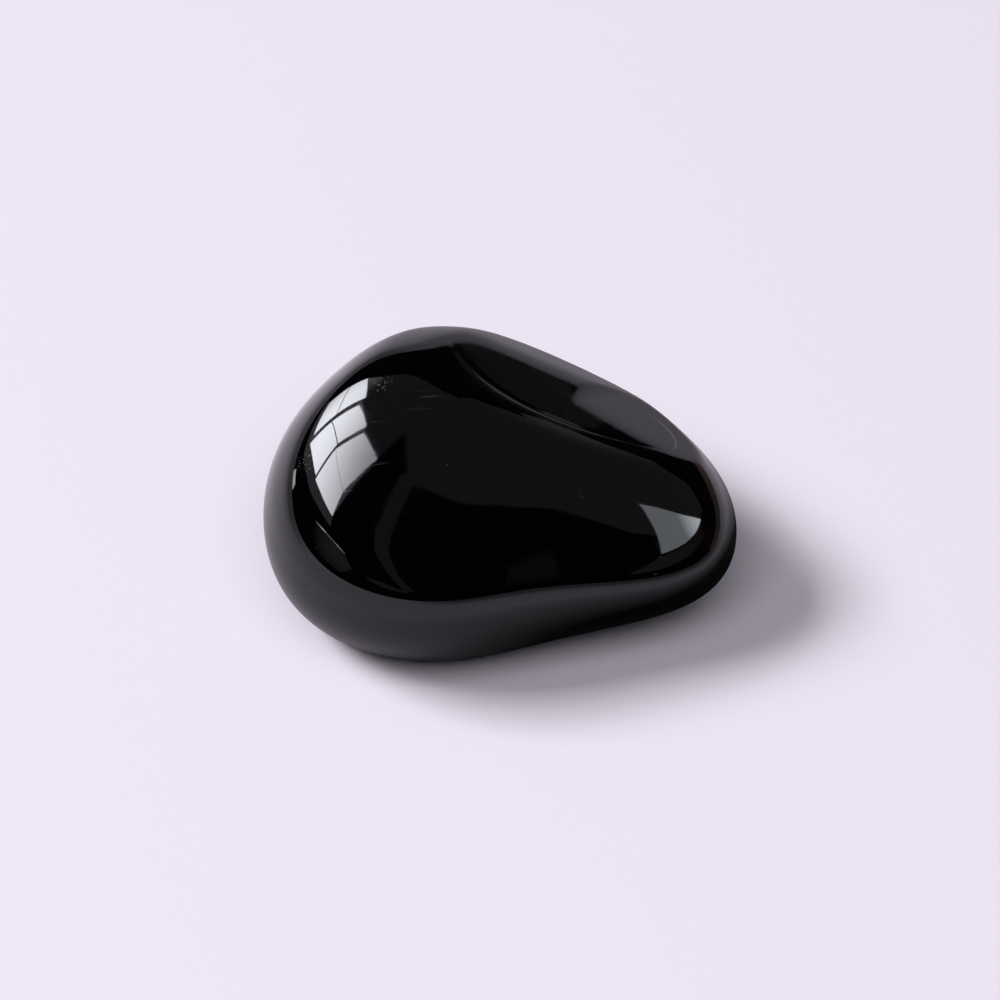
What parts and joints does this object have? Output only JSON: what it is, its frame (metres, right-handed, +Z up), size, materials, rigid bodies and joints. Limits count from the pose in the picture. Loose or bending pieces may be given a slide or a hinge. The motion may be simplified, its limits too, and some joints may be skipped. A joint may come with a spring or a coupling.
{
  "type": "tumbled obsidian stone",
  "caption": "Thumb-size tumbled black obsidian: an egg-shaped solid with a blunt end, a narrow end, soft facets, two flake faces on its upper back and a worn flat underneath.",
  "frame": {"origin": "bottom centre of the bounding box, on the small worn flat's plane", "axes": "+X along the stone's length towards its narrow end, +Y towards its back, +Z up"},
  "size_m": [0.0334, 0.0288, 0.0187],
  "materials": {
    "obsidian": "tumbled to a high polish"
  },
  "bodies": {
    "root": {"obsidian_stone": "obsidian"}
  },
  "joints": []
}
